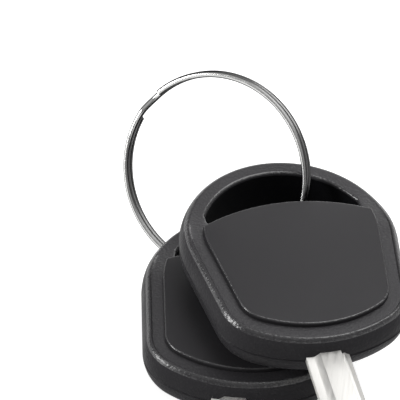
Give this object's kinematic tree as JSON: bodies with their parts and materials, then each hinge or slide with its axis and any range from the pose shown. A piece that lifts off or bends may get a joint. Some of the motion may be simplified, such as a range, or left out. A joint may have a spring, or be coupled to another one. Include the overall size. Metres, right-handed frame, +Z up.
{
  "type": "ignition keys on a split ring",
  "caption": "Ignition keys with moulded black plastic heads and bright milled blades, one lying fanned over the other, linked by a coiled steel split ring.",
  "frame": {"origin": "on the lower key's rear panel face, under the centre of its head's arch", "axes": "+X to the right of the lower key, +Y from the lower key's blade to the ring, +Z up from the surface it lies on"},
  "size_m": [0.0545, 0.0953, 0.031],
  "materials": {
    "ring_steel": "polished plate",
    "head_plastic": "fine grain, satin panel",
    "blade_metal": "bright plate with milling marks"
  },
  "bodies": {
    "rear_key": {"rear_upper": "head_plastic", "rear_lower": "head_plastic", "rear_blade": "blade_metal"},
    "ring": {"split_ring": "ring_steel"},
    "front_key": {"front_upper": "head_plastic", "front_lower": "head_plastic", "front_blade": "blade_metal"}
  },
  "joints": [
    {"name": "ring_turn", "type": "hinge", "parent": "rear_key", "child": "ring", "pos_m": [-0.00781, 0.01739, 0.01553], "axis": [-0.3477, -0.7997, 0.4894], "continuous": true},
    {"name": "key_fan", "type": "hinge", "parent": "rear_key", "child": "front_key", "pos_m": [0.00545, 0.00848, 0.0104], "axis": [0, 0, 1], "range_deg": [-16, 24]}
  ]
}
